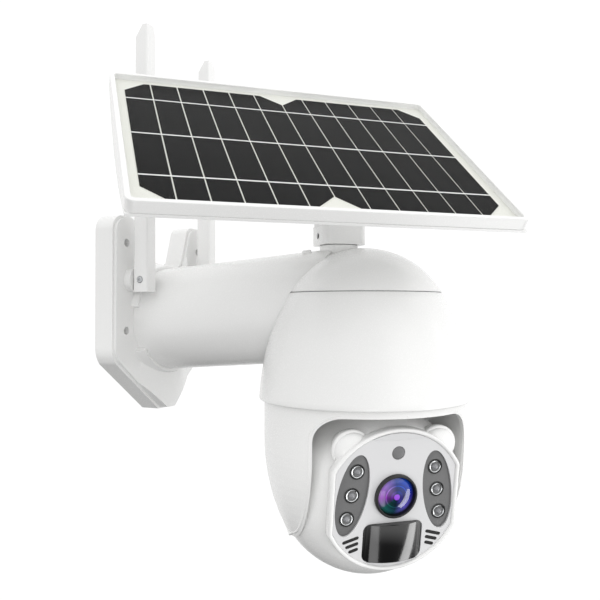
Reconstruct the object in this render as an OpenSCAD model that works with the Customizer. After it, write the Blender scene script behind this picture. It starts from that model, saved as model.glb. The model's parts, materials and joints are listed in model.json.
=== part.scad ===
// Solar-powered pan and tilt security camera on a wall arm.
// Origin: centre of the arm on the wall face. +Y points into the wall, -Y into the yard, +Z is up.

/* [Wall plate] */
// Width of the wall plate
plate_w = 108; // [96:1:130]
// Thickness of the wall plate at its sides
plate_t = 16; // [12:0.5:18]
// Thickness of the wall plate in the middle
plate_mid = 22; // [20:0.5:24]
// Height of the plate's ears above the arm axis
plate_top = 70; // [62:1:84]
// Depth of the plate's point below the arm axis
plate_low = 63; // [56:1:76]
// Across distance between the screw holes
hole_dx = 84; // [76:1:90]
// Height of the upper screw holes
hole_z_top = 52; // [46:1:56]
// Depth of the lower screw holes below the arm axis
hole_z_low = 6; // [0:1:10]
// Radius of the screw holes
hole_r = 2.6; // [2:0.1:3.2]

/* [Arm] */
// Outer radius of the arm tube
arm_r = 35.2; // [32:0.2:37]
// Wall of the arm tube
arm_wall = 3; // [2:0.2:5]
// Rise of the arm in degrees
arm_rise = 4.3; // [0:0.1:8]
// Distance from the wall to the dome's axis
dome_y = 166; // [150:1:200]

/* [Dome] */
// Outer radius of the dome at its rim
dome_r = 65.3; // [60:0.1:75]
// Wall of the dome
dome_wall = 2.6; // [2:0.1:4]
// Height of the dome's rim
rim_z = -47; // [-52:0.5:-42]
// Height of the seam between cap and shell
seam_z = 18; // [12:0.5:24]
// Height of the top of the cap
cap_top_z = 46; // [40:0.5:52]

/* [Head] */
// Turn of the head at rest, from straight ahead
head_rest = 48; // [0:1:90]
// Downward pitch of the camera ball at rest
ball_rest = 10; // [0:1:40]
// Height of the tilt axis
tilt_z = -97.5; // [-104:0.5:-92]
// Radius of the camera ball
ball_r = 54.5; // [50:0.5:58]
// Half width of the slot in the fork
slot_x = 46.8; // [42:0.2:50]
// Wall of the fork
fork_wall = 2.6; // [2:0.1:4]
// Wall of the camera ball
ball_wall = 2.4; // [1.8:0.1:3.5]

/* [Face] */
// Half width of the face
face_r = 38.7; // [36:0.1:41]
// Radius of the face's lower arc
chin_r = 43; // [42:0.1:46]
// Radius of the face's upper arc
brow_r = 44; // [42:0.1:46]
// Height of the face
face_h = 83.6; // [80:0.2:88]
// Distance from the tilt axis to the face
face_y = 46.4; // [44:0.2:50]
// Height of the face's middle over the tilt axis
face_rise = 7; // [4:0.5:9]
// Radius of the lens barrel
lens_r = 12.6; // [11:0.2:14]

/* [Solar panel] */
// Length of the panel
panel_w = 203; // [180:1:220]
// Height of the panel
panel_h = 149.6; // [130:0.2:160]
// Depth of the panel's rim
rim_t = 8.2; // [7:0.2:11]
// Depth of the panel at its middle
panel_t = 18.2; // [15:0.2:22]
// Width of the rim around the glass
rim_w = 2.7; // [2:0.1:4]
// Turn of the panel at rest, from facing straight ahead
panel_turn = 46.6; // [30:0.2:60]
// Slope of the panel at rest
panel_slope = 38.4; // [32:0.2:44]
// Strips of cell along the panel
strips = 12; // [8:2:16]

/* [Panel bracket] */
// Distance from the wall to the swivel post
post_y = 149.5; // [140:0.5:160]
// Height of the tilt pin
pin_z = 78.8; // [76:0.1:84]
// Sideways reach of the bracket
reach_x = 39; // [34:0.5:44]
// Forward reach of the bracket
reach_y = 35; // [30:0.5:40]
// Radius of the tilt pin
pin_r = 2.5; // [2:0.1:3]

/* [Antennas] */
// Sideways place of each antenna
antenna_x = 37.4; // [36.8:0.1:42]
// Distance from the wall to the antennas
antenna_y = 27; // [25:0.5:30]
// Height of the antenna's swivel
antenna_z = 27.5; // [27:0.5:36]
// Length of an antenna above its swivel
antenna_l = 168; // [120:1:200]
// Width of an antenna
antenna_w = 10.5; // [8:0.5:12]
// Depth of an antenna
antenna_d = 11.5; // [8:0.5:12.5]

/* [Hidden] */
$fn = 96;

shell_colour = "white";
inner_colour = "gainsboro";
gap = 0.05;                       // running gap and gap between seated curved faces
apart = 0.4;                      // gap between bodies that pass each other
axis_rise = tan(arm_rise);        // rise of the arm axis for each millimetre from the wall
deck_z = -25;                     // top of the fork
tilt_drop = 116;                  // height of the dome's ellipse over its widest place
wide_z = rim_z - 13;              // height of the dome's widest place
cap_r = (pow(cap_top_z - seam_z, 2) + pow(seam_r(), 2)) / (2 * (cap_top_z - seam_z));
arch_z = rim_z - 4;               // top of the slot in the fork
fork_r = dome_r - dome_wall - 1.1;
fork_bulge_z = -70;               // where the fork starts to close in
fork_depth = 88;                  // depth of the fork's ellipse below that

// ---- places ----
module at_arm() rotate([90 - arm_rise, 0, 0]) children();       // arm axis becomes +Z
module at_dome() translate([0, -dome_y, 0]) children();
module at_head() at_dome() rotate(-head_rest) children();         // -Y looks out of the fork
module at_tilt() at_head() translate([0, 0, tilt_z]) children();
module at_ball() at_tilt() rotate([ball_rest, 0, 0]) children();  // -Y looks out of the face
module at_post() translate([0, -post_y, 0]) rotate(-panel_turn) children();
module at_pin() at_post() translate([-reach_x, -reach_y, pin_z]) children();
pin_drop = panel_t + 9.2;         // distance from the glass face to the tilt pin
module at_panel() at_pin() rotate([panel_slope, 0, 0]) translate([0, 0, pin_drop]) children();
module along_x(x0, x1, r) translate([x0, 0, 0]) rotate([0, 90, 0]) cylinder(h = x1 - x0, r = r);
module both_sides() { children(); mirror([1, 0, 0]) children(); }

// ---- outlines ----
function ellipse_r(z) = dome_r * sqrt(1 - pow((z - wide_z) / tilt_drop, 2));
function seam_r() = ellipse_r(seam_z);
function fork_bulge_r(z) = z > fork_bulge_z ? fork_r : fork_r * sqrt(1 - pow((z - fork_bulge_z) / fork_depth, 2));
function arc(r, a0, a1, n, c = [0, 0]) = [for (i = [0:n]) let (a = a0 + (a1 - a0) * i / n) c + r * [cos(a), sin(a)]];

module soft_rect(w, h, r) polygon(concat(                        // rectangle with round corners
    arc(r, 0, 90, 6, [w / 2 - r, h / 2 - r]), arc(r, 90, 180, 6, [-w / 2 + r, h / 2 - r]),
    arc(r, 180, 270, 6, [-w / 2 + r, -h / 2 + r]), arc(r, 270, 360, 6, [w / 2 - r, -h / 2 + r])));
module soft_box(w, d, h, r) linear_extrude(h) soft_rect(w, d, r);
module ring(ro, ri, h) difference() {
    cylinder(h = h, r = ro);
    translate([0, 0, -1]) cylinder(h = h + 2, r = ri);
}
// Spur gear with straight flanks, its teeth a little thin so that they never bind
module gear(m, teeth, h, bore, turn = 0) {
    rp = m * teeth / 2;
    step = 360 / teeth;
    difference() {
        linear_extrude(h) rotate(turn) polygon([for (i = [0:teeth - 1], k = [0:3])
            let (r = (k == 0 || k == 3) ? rp - 1.15 * m : rp + 0.8 * m,
                 a = [-0.30, -0.13, 0.13, 0.30][k] * step)
            r * [cos(i * step + a), sin(i * step + a)]]);
        translate([0, 0, -1]) cylinder(h = h + 2, r = bore, $fn = 48);
    }
}

// Solid of the dome's outside, grown by a gap
module dome_body(grow = 0) rotate_extrude() polygon(concat(
    [[0, rim_z - 0.01]],
    [for (i = [0:14]) let (z = rim_z + (seam_z - rim_z) * i / 14) [ellipse_r(z) + grow, z]],
    [for (i = [1:12]) let (a = asin(seam_r() / cap_r) * (1 - i / 12))
        [max(0, (cap_r + grow) * sin(a)), cap_top_z - cap_r + (cap_r + grow) * cos(a)]]));

// ---- wall plate and arm ----
module plate_outline(inset = 0) {
    w = plate_w / 2 - inset;
    top = plate_top - inset;
    low = plate_low - inset;
    half = concat(
        arc(9, -62, -45, 2, [0, -low + 9]),
        arc(16, -45, 0, 6, [w - 16, -17 + inset]),
        arc(10, 0, 90, 8, [w - 10, top - 10]),
        arc(8, 90, 170, 6, [29 + inset + 8, top - 8]),
        [[22 + inset, 40]],
        arc(10, 350, 270, 4, [11 + inset, 44 - inset]));
    polygon(concat(half, [for (i = [len(half) - 1:-1:0]) [-half[i][0], half[i][1]]]));
}
module plate_holes(r, h) {
    for (x = [-1, 1], z = [hole_z_top, -hole_z_low])
        translate([x * hole_dx / 2, z, -1]) cylinder(h = h, r = r, $fn = 48);
}
module stand() rotate([90, 0, 0]) children();                    // outline in XZ, thickness toward -Y

swell_w = 29;                     // half width of the plate's swelling
swell_r = (pow(swell_w, 2) + pow(plate_mid - plate_t, 2)) / (2 * (plate_mid - plate_t));
pad_r = 17;
module boss(grow = 0) at_arm() translate([0, 0, 4])
    cylinder(h = plate_t + 1, r1 = arm_r + 8 + grow, r2 = arm_r + 2 + grow);
module wall_plate() color(shell_colour) difference() {
    union() {
        stand() linear_extrude(plate_t - 2) plate_outline();
        stand() translate([0, 0, plate_t - 2]) linear_extrude(2) plate_outline(1.5);
        intersection() {                                          // swollen middle, down to the nose
            stand() linear_extrude(plate_mid) plate_outline(1.5);
            translate([0, swell_r - plate_mid, -100]) cylinder(h = 200, r = swell_r);
            translate([-swell_w, -60, -100]) cube([2 * swell_w, 60, 200]);
        }
        intersection() {                                          // boss that carries the arm
            boss();
            translate([-80, -60, -80]) cube([160, 60, 160]);
        }
    }
    stand() plate_holes(hole_r, 60);
    stand() translate([0, 0, plate_t + 1]) plate_holes(pad_r, 60);   // flat pads for the screw heads
    at_arm() translate([0, 0, plate_t - 6]) cylinder(h = 40, r = arm_r + gap);
    at_arm() translate([0, 0, -20]) cylinder(h = 60, r = 10);     // lead-through
}

module arm_tube() color(shell_colour) difference() {
    at_arm() translate([0, 0, plate_t - 6]) cylinder(h = dome_y - 14 - plate_t + 6, r = arm_r);
    at_arm() translate([0, 0, plate_t - 6 + arm_wall]) cylinder(h = 200, r = arm_r - arm_wall);
    at_arm() translate([0, 0, -20]) cylinder(h = 60, r = 9);
    at_dome() dome_body(gap);
}
// Ring inside the arm that the dome's fixing screws pull against
module arm_bulkhead() color(inner_colour) at_arm() translate([0, 0, 92]) difference() {
    cylinder(h = 3, r = arm_r - arm_wall - gap);
    translate([0, 0, -1]) cylinder(h = 5, r = 12);
}
cell_r = 9.2;
cell_l = 65;
module cell_places() for (a = [45, 135, 225, 315]) rotate(a) translate([cell_r * 1.48, 0, 0]) children();
module battery_cells() color("mediumseagreen") at_arm() translate([0, 0, 20]) cell_places() {
    cylinder(h = cell_l - 1, r = cell_r);
    translate([0, 0, cell_l - 1]) cylinder(h = 1, r = 2.8);
}
module battery_holder() color("dimgray") at_arm() translate([0, 0, 18]) difference() {
    union() for (z = [0, cell_l - 3]) translate([0, 0, z]) cylinder(h = 8, r = arm_r - arm_wall - 0.3);
    translate([0, 0, 2]) cell_places() cylinder(h = cell_l, r = cell_r + gap);
    translate([0, 0, -1]) cylinder(h = cell_l + 20, r = 3.5);
}

// ---- antennas ----
module at_swivel(side) translate([side * antenna_x, -antenna_y, antenna_z]) children();
stub_r = 8;
stub_pin_r = 2.5;
module antenna_stub(side) color(shell_colour) difference() {
    union() {
        at_swivel(side) rotate([-90, 0, 0]) translate([0, 0, antenna_d / 2 + apart])
            cylinder(h = antenna_y - antenna_d / 2 - apart - plate_t, r = stub_r);
        at_swivel(side) rotate([-90, 0, 0]) translate([0, 0, -1]) cylinder(h = 8, r = stub_pin_r);
    }
    at_arm() cylinder(h = 60, r = arm_r + gap);
    boss(gap);
}
module antenna_stub_left() antenna_stub(-1);
module antenna_stub_right() antenna_stub(1);
antenna_end = 8;                  // length of the blade below its swivel
module blade() color(shell_colour) difference() {
    hull() {
        translate([0, 0, -antenna_end]) soft_box(antenna_w, antenna_d, 20, 2);
        translate([0, 0, antenna_l - 9]) soft_box(antenna_w - 1.4, antenna_d - 1.2, 1, 1.6);
        translate([0, -2, antenna_l - 1]) soft_box(antenna_w - 3, antenna_d - 7, 1, 1);
    }
    rotate([-90, 0, 0]) translate([0, 0, -1 - gap]) cylinder(h = 20, r = stub_pin_r + gap);
    both_sides() translate([antenna_w / 2 - 1.2, 0, 0]) rotate([0, 90, 0]) cylinder(h = 5, r = 2.4);
}
module antenna_left() at_swivel(-1) blade();
module antenna_right() at_swivel(1) blade();
module blade_screws() color("silver") both_sides() along_x(antenna_w / 2 - 1.2, antenna_w / 2 + 0.3, 2.2);
module antenna_screws_left() at_swivel(-1) blade_screws();
module antenna_screws_right() at_swivel(1) blade_screws();

// ---- swivel post and panel bracket ----
peg_top = 59;
peg_r = 8;
collar_z = 48.4;
collar_top = 60.4;
collar_w = 28;
collar_d = 24.5;
module swivel_peg() color(shell_colour) difference() {
    translate([0, -post_y, 0]) union() {
        translate([0, 0, 20]) cylinder(h = collar_z - apart - 20, r = 12);
        translate([0, 0, 20]) cylinder(h = peg_top - 20, r = peg_r);
    }
    at_arm() cylinder(h = dome_y - 14, r = arm_r + gap);
    at_arm() translate([0, 0, dome_y - 14]) cylinder(h = 200, r = arm_r - 6);
    at_dome() dome_body(gap);
}
module swivel_collar() color(shell_colour) at_post() difference() {
    translate([0, 0, collar_z]) soft_box(collar_w, collar_d, collar_top - collar_z, 4);
    translate([0, 0, collar_z - 1]) cylinder(h = 30, r = peg_r + gap);
    rotate([0, -90, 0]) translate([54, 0, 0]) cylinder(h = 40, r = 2, $fn = 48);
}
module set_screw() color("dimgray") at_post() translate([-(peg_r + 0.3), 0, 54]) rotate([0, -90, 0]) difference() {
    cylinder(h = 5, r = 2 - gap, $fn = 48);
    translate([0, 0, 3]) cylinder(h = 3, r = 1.1, $fn = 6);
}
arm_z = 66.5;                     // underside of the bracket's arm
arm_h = 6;
barrel_w = 14;
barrel_r = 5.5;
module panel_bracket() color(inner_colour) at_post() difference() {
    union() {
        translate([0, 0, collar_top]) soft_box(collar_w - 1.2, collar_d - 1.2, arm_z - collar_top, 3.5);
        translate([-reach_x - barrel_w / 2, -5, arm_z]) cube([reach_x + barrel_w / 2 + 10, 14, arm_h]);
        translate([-reach_x - barrel_w / 2, -reach_y, arm_z]) cube([barrel_w, reach_y + 9, arm_h]);
        hull() {
            translate([-reach_x, -reach_y, pin_z]) along_x(-barrel_w / 2, barrel_w / 2, barrel_r);
            translate([-reach_x - barrel_w / 2, -reach_y - barrel_r, arm_z]) cube([barrel_w, 2 * barrel_r, arm_h]);
        }
    }
    translate([-reach_x, -reach_y, pin_z]) along_x(-barrel_w, barrel_w, pin_r);
    translate([0, 0, collar_top - 1]) cylinder(h = 3, r = peg_r + apart);
}
ear_t = 5;
ear_in = barrel_w / 2 + apart;
module tilt_pin() color("silver") at_pin() {
    along_x(-ear_in - ear_t - 6, ear_in + ear_t + 1, pin_r - gap);
    along_x(ear_in + ear_t + 1, ear_in + ear_t + 4, pin_r + 2.4);
}
module tilt_knob() color("dimgray") at_pin() translate([-ear_in - ear_t - 8, 0, 0]) rotate([0, 90, 0]) difference() {
    union() {
        cylinder(h = 6, r = 6.5);
        for (a = [0:45:315]) rotate(a) translate([6.2, 0, 0]) cylinder(h = 6, r = 1.4);
    }
    translate([0, 0, 1.5]) cylinder(h = 5, r = pin_r);
}

// ---- solar panel, its glass face on z = 0, long edge along x ----
function back_z(y) = -(rim_t + (panel_t - rim_t) * (1 - pow(y / (panel_h / 2), 2)));
module back_profile(inset) {
    h = panel_h / 2 - inset;
    polygon(concat([[h, -rim_t + 3], [-h, -rim_t + 3]],
        [for (i = [0:16]) let (y = -h + 2 * h * i / 16) [y, back_z(y) + inset]]));
}
module panel_slab(d0, d1, inset, r) translate([0, 0, d0])
    soft_box(panel_w - 2 * inset, panel_h - 2 * inset, d1 - d0, r);
module across(w) rotate([90, 0, 90]) translate([0, 0, -w / 2]) linear_extrude(w) children();
foot_w = 28;
foot_h = 30;
foot_z = -panel_t - 3.2;            // outer face of the foot plate
foot_sink = 0.8;                  // depth that the plate is let into the housing
module foot_screw_places() for (x = [-1, 1], y = [-1, 1])
    translate([x * (foot_w / 2 - 4.5), y * (foot_h / 2 - 4.5), 0]) children();
shell_w = 2.4;
module panel_back() color(shell_colour) at_panel() difference() {
    across(panel_w) back_profile(0);
    difference() {
        across(panel_w - 2 * shell_w) back_profile(shell_w);
        foot_screw_places() translate([0, 0, -40]) cylinder(h = 40, r = 4);
    }
    translate([-panel_w, -panel_h, -rim_t + 1.5]) cube([panel_w * 2, panel_h * 2, 10]);
    foot_screw_places() translate([0, 0, -panel_t - 5]) cylinder(h = 11, r = 1.5, $fn = 32);
    translate([-foot_w / 2 - 0.1, -foot_h / 2 - 0.1, -panel_t - 5]) cube([foot_w + 0.2, foot_h + 0.2, 5 + foot_sink]);
}
module panel_rim() color(shell_colour) at_panel() difference() {
    panel_slab(-rim_t + 1.5, 0, 0, 4);
    panel_slab(-4, 1, rim_w, 2);
    panel_slab(-rim_t, 1, rim_w + 3, 2);
}
module backing_sheet() color("beige") at_panel() panel_slab(-4, -3.5, rim_w + gap, 2);
cells_w = 0.925 * panel_w;
cells_h = 0.90 * panel_h;
strip_w = cells_w / strips;
cut = cells_h * 0.085;
module solar_cells() color("black") at_panel() translate([-cells_w / 2, -cells_h / 2, -3.5])
    for (i = [0:strips - 1]) translate([i * strip_w, 0, 0]) linear_extrude(0.25)
        let (first = i % (strips / 2) == 0, last = i % (strips / 2) == strips / 2 - 1,
             a = first ? cut : 0, b = last ? cut : 0, w = strip_w - 0.8)
            polygon([[0, a], [a, 0], [w - b, 0], [w, b], [w, cells_h - b],
                [w - b, cells_h], [a, cells_h], [0, cells_h - a]]);
module busbars() color("white") at_panel() translate([-cells_w / 2, -cells_h / 2, -3.25])
    for (f = [1 / 6, 1 / 2, 5 / 6]) translate([0, f * cells_h - 0.5, 0]) cube([cells_w - 0.8, 1, 0.12]);
module panel_glass() color([0.7, 0.8, 0.9, 0.3]) at_panel() panel_slab(-3.1, -0.4, rim_w + gap, 2);
module junction_box() color("dimgray") at_panel() translate([46, 0, back_z(15) + shell_w + gap])
    soft_box(40, 30, 9, 2);
module hinge_foot() color(inner_colour) at_panel() difference() {
    union() {
        translate([-foot_w / 2, -foot_h / 2, foot_z]) cube([foot_w, foot_h, foot_sink - foot_z - panel_t]);
        for (s = [-1, 1]) translate([s > 0 ? ear_in : -ear_in - ear_t, 0, 0]) {
            translate([0, -barrel_r, -pin_drop]) cube([ear_t, 2 * barrel_r, pin_drop + foot_z + 0.5]);
            translate([0, 0, -pin_drop]) rotate([0, 90, 0]) cylinder(h = ear_t, r = barrel_r);
        }
    }
    translate([0, 0, -pin_drop]) along_x(-40, 40, pin_r);
    foot_screw_places() translate([0, 0, -60]) cylinder(h = 60, r = 1.7, $fn = 32);
}
module foot_screws() color("silver") at_panel() foot_screw_places() translate([0, 0, foot_z]) {
    translate([0, 0, -1.6]) cylinder(h = 1.6, r = 2.8, $fn = 32);
    cylinder(h = 8, r = 1.4, $fn = 32);
}

// ---- dome ----
module dome_inside() rotate_extrude() polygon(concat([[0, rim_z - 1]],
    [for (i = [0:14]) let (z = rim_z - 1 + (seam_z - rim_z + 1) * i / 14)
        [ellipse_r(max(z, rim_z)) - dome_wall, z]],
    [for (i = [1:12]) let (a = asin((seam_r() - dome_wall) / (cap_r - dome_wall)) * (1 - i / 12))
        [max(0, (cap_r - dome_wall) * sin(a)), cap_top_z - cap_r + (cap_r - dome_wall) * cos(a)]]));
module slice(z0, z1) translate([-100, -100, z0]) cube([200, 200, z1 - z0]);
module dome_cap() color(shell_colour) at_dome() difference() {
    intersection() { dome_body(); slice(seam_z + 0.4, 90); }
    dome_inside();
}
module cap_seal() color("gray") at_dome() translate([0, 0, seam_z - 0.6]) ring(seam_r() - 0.7, seam_r() - 2.2, 1);
module dome_shell() color(shell_colour) at_dome() difference() {
    intersection() { dome_body(); slice(rim_z, seam_z); }
    dome_inside();
    translate([0, 0, seam_z - 0.6]) ring(seam_r() - 0.7, seam_r() - 6, 2);
    translate([0, 0, dome_y * axis_rise]) rotate([-90, 0, 0]) cylinder(h = 80, r = 9);
}
plate_z = -19;                    // underside of the chassis plate
plate_h = 3;
bearing_r = 21;
hub_r = 14;
post_h = 36;
module chassis_plate() color("dimgray") at_dome() {
    difference() {
        union() {
            translate([0, 0, plate_z]) cylinder(h = plate_h, r = ellipse_r(plate_z) - dome_wall - 1.4);
            translate([0, 0, plate_z]) cylinder(h = 6, r = bearing_r + 3);
        }
        translate([0, 0, plate_z - 1]) cylinder(h = 9, r = bearing_r);
    }
    for (a = [30, 150, 270]) rotate(a) translate([33, 0, plate_z + plate_h]) cylinder(h = post_h, r = 2.5);
}
module main_board() color("seagreen") at_dome() translate([0, 0, plate_z + plate_h + post_h]) {
    cylinder(h = 1.6, r = 37);
    translate([-8, -10, 1.6]) cube([16, 16, 2]);
    translate([12, 6, 1.6]) cube([14, 10, 6]);
    translate([-26, 4, 1.6]) cube([10, 12, 4]);
}
pan_teeth = 44;
pan_pinion_teeth = 11;
pan_m = 1;
pan_centre = pan_m * (pan_teeth + pan_pinion_teeth) / 2;
gear_z = plate_z + 7;
pan_motor_at = 200;                // direction of the motor from the pan axis
module at_pan_motor() at_dome() rotate(pan_motor_at) translate([pan_centre, 0, 0]) children();
module pan_motor() color("silver") at_pan_motor() {
    translate([0, 0, gear_z + 6]) cylinder(h = 17, r = 13);
    translate([0, 0, gear_z - 1]) cylinder(h = 7.1, r = 1.5);
    for (s = [-1, 1]) translate([8, s * 15, plate_z + plate_h]) cylinder(h = gear_z + 8 - plate_z - plate_h, r = 2.5);
    for (s = [-1, 1]) hull() {
        translate([8, s * 15, gear_z + 6]) cylinder(h = 2, r = 2.5, $fn = 32);
        translate([4, s * 8, gear_z + 6]) cylinder(h = 2, r = 2.5, $fn = 32);
    }
}
module pan_pinion() color("ivory") at_pan_motor() translate([0, 0, gear_z])
    gear(pan_m, pan_pinion_teeth, 4, 1.5 + gap, 180 / pan_pinion_teeth + 180);
module pan_bearing() color("silver") at_dome() translate([0, 0, plate_z]) ring(bearing_r, hub_r + gap, 6);

// ---- fork, which pans ----
module fork_body(inset, top) rotate_extrude() polygon(concat(
    [[0, top]], [[fork_r - 4.5 - inset, top], [fork_r - inset, rim_z + 3]],
    [for (i = [0:24]) let (z = fork_bulge_z - fork_depth * sin(90 * i / 24) * 0.999)
        [max(0, fork_bulge_r(z) - inset), z]],
    [[0, fork_bulge_z - fork_depth * 0.999]]));
module slot_outline(w) {
    r = 14;
    polygon(concat([[w, -200], [w, arch_z - r]], arc(r, 0, 90, 8, [w - r, arch_z - r]),
        arc(r, 90, 180, 8, [-w + r, arch_z - r]), [[-w, arch_z - r], [-w, -200]]));
}
module slot(w) rotate([90, 0, 0]) translate([0, 0, -100]) linear_extrude(200) slot_outline(w);
module fork_shell() color(shell_colour) at_head() difference() {
    fork_body(0, deck_z);
    fork_body(fork_wall, deck_z - fork_wall);
    slot(slot_x);
    translate([0, 0, deck_z - 10]) cylinder(h = 20, r = hub_r - 4);
}
module fork_hub() color(inner_colour) at_head() difference() {
    union() {
        translate([0, 0, deck_z]) cylinder(h = 2, r = 24);
        translate([0, 0, deck_z]) cylinder(h = gear_z + 4 - deck_z, r = hub_r);
    }
    translate([0, 0, deck_z - 1]) cylinder(h = 60, r = hub_r - 4);
}
module pan_gear() color("ivory") at_head() translate([0, 0, gear_z]) rotate(head_rest + pan_motor_at)
    gear(pan_m, pan_teeth, 4, hub_r);
cheek_t = 2.5;
bush_r = 9.5;
trunnion_r = 7;
axle_r = 7;
module cheek(side) intersection() {
    fork_body(fork_wall + gap, deck_z - fork_wall - gap);
    translate([side > 0 ? slot_x : -slot_x - cheek_t, -100, -200]) cube([cheek_t, 200, 200 + arch_z - 2]);
}
module cheek_plates() color(inner_colour) at_head() difference() {
    union() { cheek(1); cheek(-1); }
    translate([0, 0, tilt_z]) along_x(-80, 0, bush_r);
    translate([0, 0, tilt_z]) along_x(0, 80, axle_r);
}
module tilt_bush() color("ivory") at_tilt() difference() {
    along_x(-slot_x - cheek_t - 3, -slot_x, bush_r);
    along_x(-80, 0, trunnion_r + gap);
}
gear_x = 31;
module tilt_axle() color("silver") at_tilt() difference() {
    union() {
        along_x(gear_x, slot_x + cheek_t, axle_r);
        along_x(slot_x + cheek_t, slot_x + cheek_t + 2, 11);
    }
    along_x(0, 80, 4);
}
tilt_m = 0.8;
tilt_teeth = 30;
tilt_pinion_teeth = 10;
tilt_centre = tilt_m * (tilt_teeth + tilt_pinion_teeth) / 2;
gear_h = 4;
// Fixed gear on the axle, with the motor's pinion behind it; a tooth of one faces a gap of the other
module tilt_gear() color("ivory") at_ball() translate([gear_x, 0, 0]) rotate([0, 90, 0])
    gear(tilt_m, tilt_teeth, gear_h, axle_r, 90);
module at_tilt_motor() at_ball() translate([0, tilt_centre, 0]) children();
module tilt_pinion() color("ivory") at_tilt_motor() translate([gear_x, 0, 0]) rotate([0, 90, 0])
    gear(tilt_m, tilt_pinion_teeth, gear_h, 1.2 + gap, -90 + 180 / tilt_pinion_teeth);
module tilt_motor() color("silver") at_tilt_motor() {
    along_x(8, gear_x - 1.5, 10);
    along_x(gear_x - 1.6, gear_x + gear_h + 1, 1.2);
}

// ---- camera ball, which tilts ----
split_y = -4;                     // plane between the ball's two halves
side_x = slot_x - 0.7;
face_z0 = face_rise - face_h / 2; // lowest point of the face
face_low = [0, face_z0 + chin_r];  // centres of the face's two arcs
face_high = [0, face_z0 + face_h - brow_r];
module face_outline(inset = 0) {
    low = acos((face_r - inset) / (chin_r - inset));             // angles at which the arcs meet the sides
    high = acos((face_r - inset) / (brow_r - inset));
    polygon(concat(arc(chin_r - inset, 180 + low, 360 - low, 28, face_low),
        arc(brow_r - inset, high, 180 - high, 24, face_high)));
}
module facing(y0, y1) rotate([90, 0, 0]) translate([0, 0, y0]) linear_extrude(y1 - y0) children();
module ball_core(inset) intersection() {
    sphere(ball_r - inset);
    translate([-side_x + inset, -100, -100]) cube([2 * (side_x - inset), 200, 200]);
}
module front_core(inset) hull() {
    intersection() {
        rotate([90, 0, 0]) sphere(ball_r - inset, $fn = 72);
        translate([-side_x + inset, -face_y + 6, -60]) cube([2 * (side_x - inset), face_y - 6 + split_y, 120]);
    }
    facing(face_y - 6, face_y - 5) face_outline(inset + 0.6);
}
module ball_rear() color(shell_colour) at_ball() difference() {
    intersection() {
        ball_core(0);
        translate([-100, split_y, -100]) cube(200);
    }
    ball_core(ball_wall);
    along_x(0, 80, axle_r + gap);
    along_x(-80, 0, trunnion_r);
    translate([0, 0, -22]) rotate([-90, 0, 0]) translate([0, 0, 30]) cylinder(h = 40, r = 2.6, $fn = 48);
    translate([-13, 44, -16]) cube([26, 20, 11]);
}
module ball_front() color(shell_colour) at_ball() difference() {
    front_core(0);
    front_core(ball_wall);
    facing(face_y - 8, face_y) face_outline(ball_wall + 1);
    along_x(0, 80, axle_r + gap);
    along_x(-80, 0, trunnion_r);
}
module trunnion() color(inner_colour) at_ball() difference() {
    union() {
        along_x(-slot_x - cheek_t - 2, -side_x + ball_wall, trunnion_r);
        along_x(-side_x + ball_wall, -side_x + ball_wall + 2, 11);
    }
    along_x(-80, 0, 3.5);
}
ear_r = 11.5;
module face_bezel() color(shell_colour) at_ball() difference() {
    union() {
        facing(face_y - 5, face_y) face_outline();
        both_sides() translate([26, -face_y + 5, 36]) rotate([90, 0, 0]) cylinder(h = 3, r = ear_r);
    }
    facing(face_y - 3, face_y + 1) face_outline(2.6);
    facing(face_y - 8, face_y + 1) face_outline(4.4);
}
lens_z = face_rise + 2.6;
sensor_z = 34.5;
lamp_r = 4.3;
lamp_lean = 9.5;
lamp_x = 25.8;
lamp_z = face_rise + 4.3;
lamp_step = 13.7;
window_w = 17.8;
window_h = 47.2;
motion_z = -17.2;
motion_w = 36;
motion_h = 22;
module at_lamp_window() both_sides() translate([lamp_x, 0, lamp_z]) rotate([0, -lamp_lean, 0]) children();
module oval(w, h) polygon([for (i = [0:47]) [w / 2 * cos(i * 7.5), h / 2 * sin(i * 7.5)]]);
bar_t = 1.9;
// Sound slots, the lower ones shorter
module bars(grow = 0) both_sides() for (i = [0:2])
    translate([25.2 - i, 0, -14.6 - 3.1 * i]) rotate([0, 16, 0]) facing(face_y - 3, face_y - 1.2 + 10 * grow)
        let (l = 8 - 2 * i) polygon(concat(
            arc(bar_t / 2 + grow, -90, 90, 6, [l / 2, 0]), arc(bar_t / 2 + grow, 90, 270, 6, [-l / 2, 0])));
module motion_outline(grow = 0) translate([0, motion_z]) soft_rect(motion_w + 2 * grow, motion_h + 2 * grow, 4 + grow);
module face_plate() color([0.92, 0.92, 0.92]) at_ball() difference() {
    facing(face_y - 3, face_y - 1) face_outline(2.65);
    facing(0, 100) translate([0, lens_z]) circle(lens_r + gap);
    facing(0, 100) translate([0, sensor_z]) circle(3.9);
    at_lamp_window() facing(0, 100) oval(window_w + 0.1, window_h + 0.1);
    facing(0, 100) motion_outline(gap);
    bars(gap);
}
module lens_barrel() color([0.08, 0.08, 0.09]) at_ball() difference() {
    facing(face_y - 16, face_y + 1.4) translate([0, lens_z]) circle(lens_r);
    facing(face_y - 2, face_y + 2) translate([0, lens_z]) circle(lens_r - 2.4);
    facing(face_y - 20, face_y + 2) translate([0, lens_z]) circle(lens_r - 6);
}
module lens_glass() color([0.2, 0.2, 0.5]) at_ball() translate([0, 0, lens_z]) rotate([90, 0, 0])
    intersection() {
        translate([0, 0, face_y - 2]) cylinder(h = 4, r = lens_r - 2.4 - gap);
        translate([0, 0, face_y + 1.2 - 16]) sphere(16);
    }
module image_board() color("seagreen") at_ball() facing(face_y - 18, face_y - 16.1)
    translate([-17, lens_z - 15]) square([34, 30]);
module light_sensor() color("gray") at_ball() facing(face_y - 4, face_y - 1.1) translate([0, sensor_z]) circle(3.8);
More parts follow.
